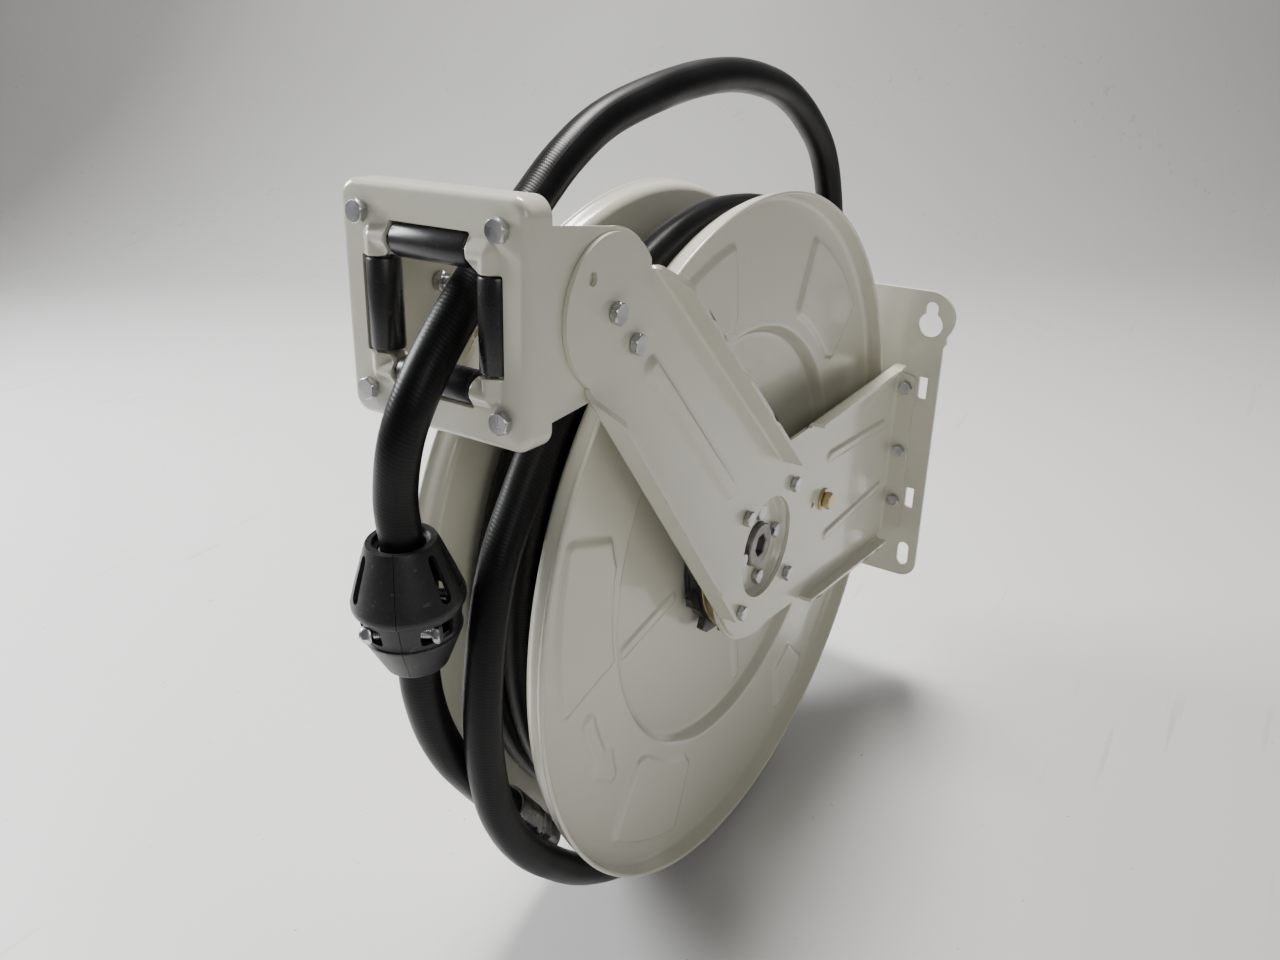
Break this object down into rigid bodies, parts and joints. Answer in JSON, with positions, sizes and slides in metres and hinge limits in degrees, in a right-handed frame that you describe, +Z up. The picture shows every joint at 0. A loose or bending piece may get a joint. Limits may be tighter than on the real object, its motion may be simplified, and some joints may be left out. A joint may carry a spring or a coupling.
{
  "type": "retractable hose reel",
  "caption": "Open spring-driven hose reel on a double-sided wall bracket, with a roller guide, a wound rubber hose, a stop ball and a threaded hose end.",
  "frame": {"origin": "middle of the wall plate's rear face", "axes": "+Z up along the wall, +Y into the wall, +X along the drum's axis towards the spring side"},
  "size_m": [0.191, 0.5397, 0.5428],
  "materials": {
    "paint": "light warm grey gloss powder coat",
    "zinc": "bright zinc plate",
    "yellow_zinc": "yellow passivated zinc plate",
    "steel": "plain machined steel",
    "black_steel": "black enamel",
    "spring_steel": "oiled spring steel",
    "bronze": "bearing bronze",
    "brass": "machined brass",
    "rubber": "black cloth-wrapped rubber",
    "nylon": "black satin nylon",
    "moulding": "black moulded plastic"
  },
  "bodies": {
    "bracket": {"wall_plate": "paint", "support_arm_right": "paint", "support_arm_left": "paint", "guide_arm_right": "paint", "guide_arm_left": "paint", "guide_box": "paint", "roller_retainer": "paint", "roller_pin_top": "zinc", "roller_pin_bottom": "zinc", "roller_pin_left": "zinc", "roller_pin_right": "zinc", "spring_arbor": "steel", "arbor_flange": "steel", "bearing_housing": "steel", "shaft_bearing": "bronze", "pawl_bolt": "yellow_zinc", "pawl_clip": "spring_steel", "pawl_spring": "spring_steel", "hose_run": "rubber", "stop_ball_left": "moulding", "stop_ball_right": "moulding", "hose_ferrule": "zinc", "end_fitting": "zinc", "guide_bolt_top_left": "zinc", "guide_bolt_top_right": "zinc", "guide_bolt_bottom_left": "zinc", "guide_bolt_bottom_right": "zinc", "ear_bolt_right_upper": "zinc", "ear_bolt_right_lower": "zinc", "ear_bolt_left_upper": "zinc", "ear_bolt_left_lower": "zinc", "hub_bolt_outer_1": "zinc", "hub_bolt_outer_2": "zinc", "hub_bolt_outer_3": "zinc", "hub_bolt_outer_4": "zinc", "hub_bolt_inner_1": "zinc", "hub_bolt_inner_2": "zinc", "hub_bolt_inner_3": "zinc", "hub_bolt_inner_4": "zinc"},
    "drum": {"disc_right": "paint", "disc_left": "paint", "drum_barrel": "paint", "wound_hose": "rubber", "spring_case": "black_steel", "spring_case_cover": "black_steel", "arbor_bush": "bronze", "ratchet_wheel": "black_steel", "mainspring": "spring_steel", "hollow_shaft": "steel", "outlet_pipe": "zinc"},
    "guide_roller_top": {"roller_top": "nylon"},
    "guide_roller_bottom": {"roller_bottom": "nylon"},
    "guide_roller_left": {"roller_left": "nylon"},
    "guide_roller_right": {"roller_right": "nylon"},
    "pawl_lever": {"pawl": "zinc"},
    "swivel": {"swivel_body": "brass", "swivel_seal": "rubber", "inlet_nipple": "brass"}
  },
  "joints": [
    {"name": "drum_spin", "type": "hinge", "parent": "bracket", "child": "drum", "pos_m": [0, -0.249, 0.0125], "axis": [1, 0, 0], "continuous": true},
    {"name": "roller_top_spin", "type": "hinge", "parent": "bracket", "child": "guide_roller_top", "pos_m": [0, -0.47153, 0.25454], "axis": [1, 0, 0], "continuous": true},
    {"name": "roller_bottom_spin", "type": "hinge", "parent": "bracket", "child": "guide_roller_bottom", "pos_m": [0, -0.47687, 0.19478], "axis": [1, 0, 0], "continuous": true},
    {"name": "roller_left_spin", "type": "hinge", "parent": "bracket", "child": "guide_roller_left", "pos_m": [-0.033, -0.4742, 0.22466], "axis": [0, 0.0889, 0.996], "continuous": true},
    {"name": "roller_right_spin", "type": "hinge", "parent": "bracket", "child": "guide_roller_right", "pos_m": [0.033, -0.4742, 0.22466], "axis": [0, 0.0889, 0.996], "continuous": true},
    {"name": "pawl_swing", "type": "hinge", "parent": "bracket", "child": "pawl_lever", "pos_m": [0.0348, -0.1492, 0.0041], "axis": [1, 0, 0], "range_deg": [-2, 25], "stiffness_Nm_per_rad": 0.05},
    {"name": "swivel_turn", "type": "hinge", "parent": "bracket", "child": "swivel", "pos_m": [-0.073, -0.249, 0.0125], "axis": [1, 0, 0], "continuous": true}
  ]
}
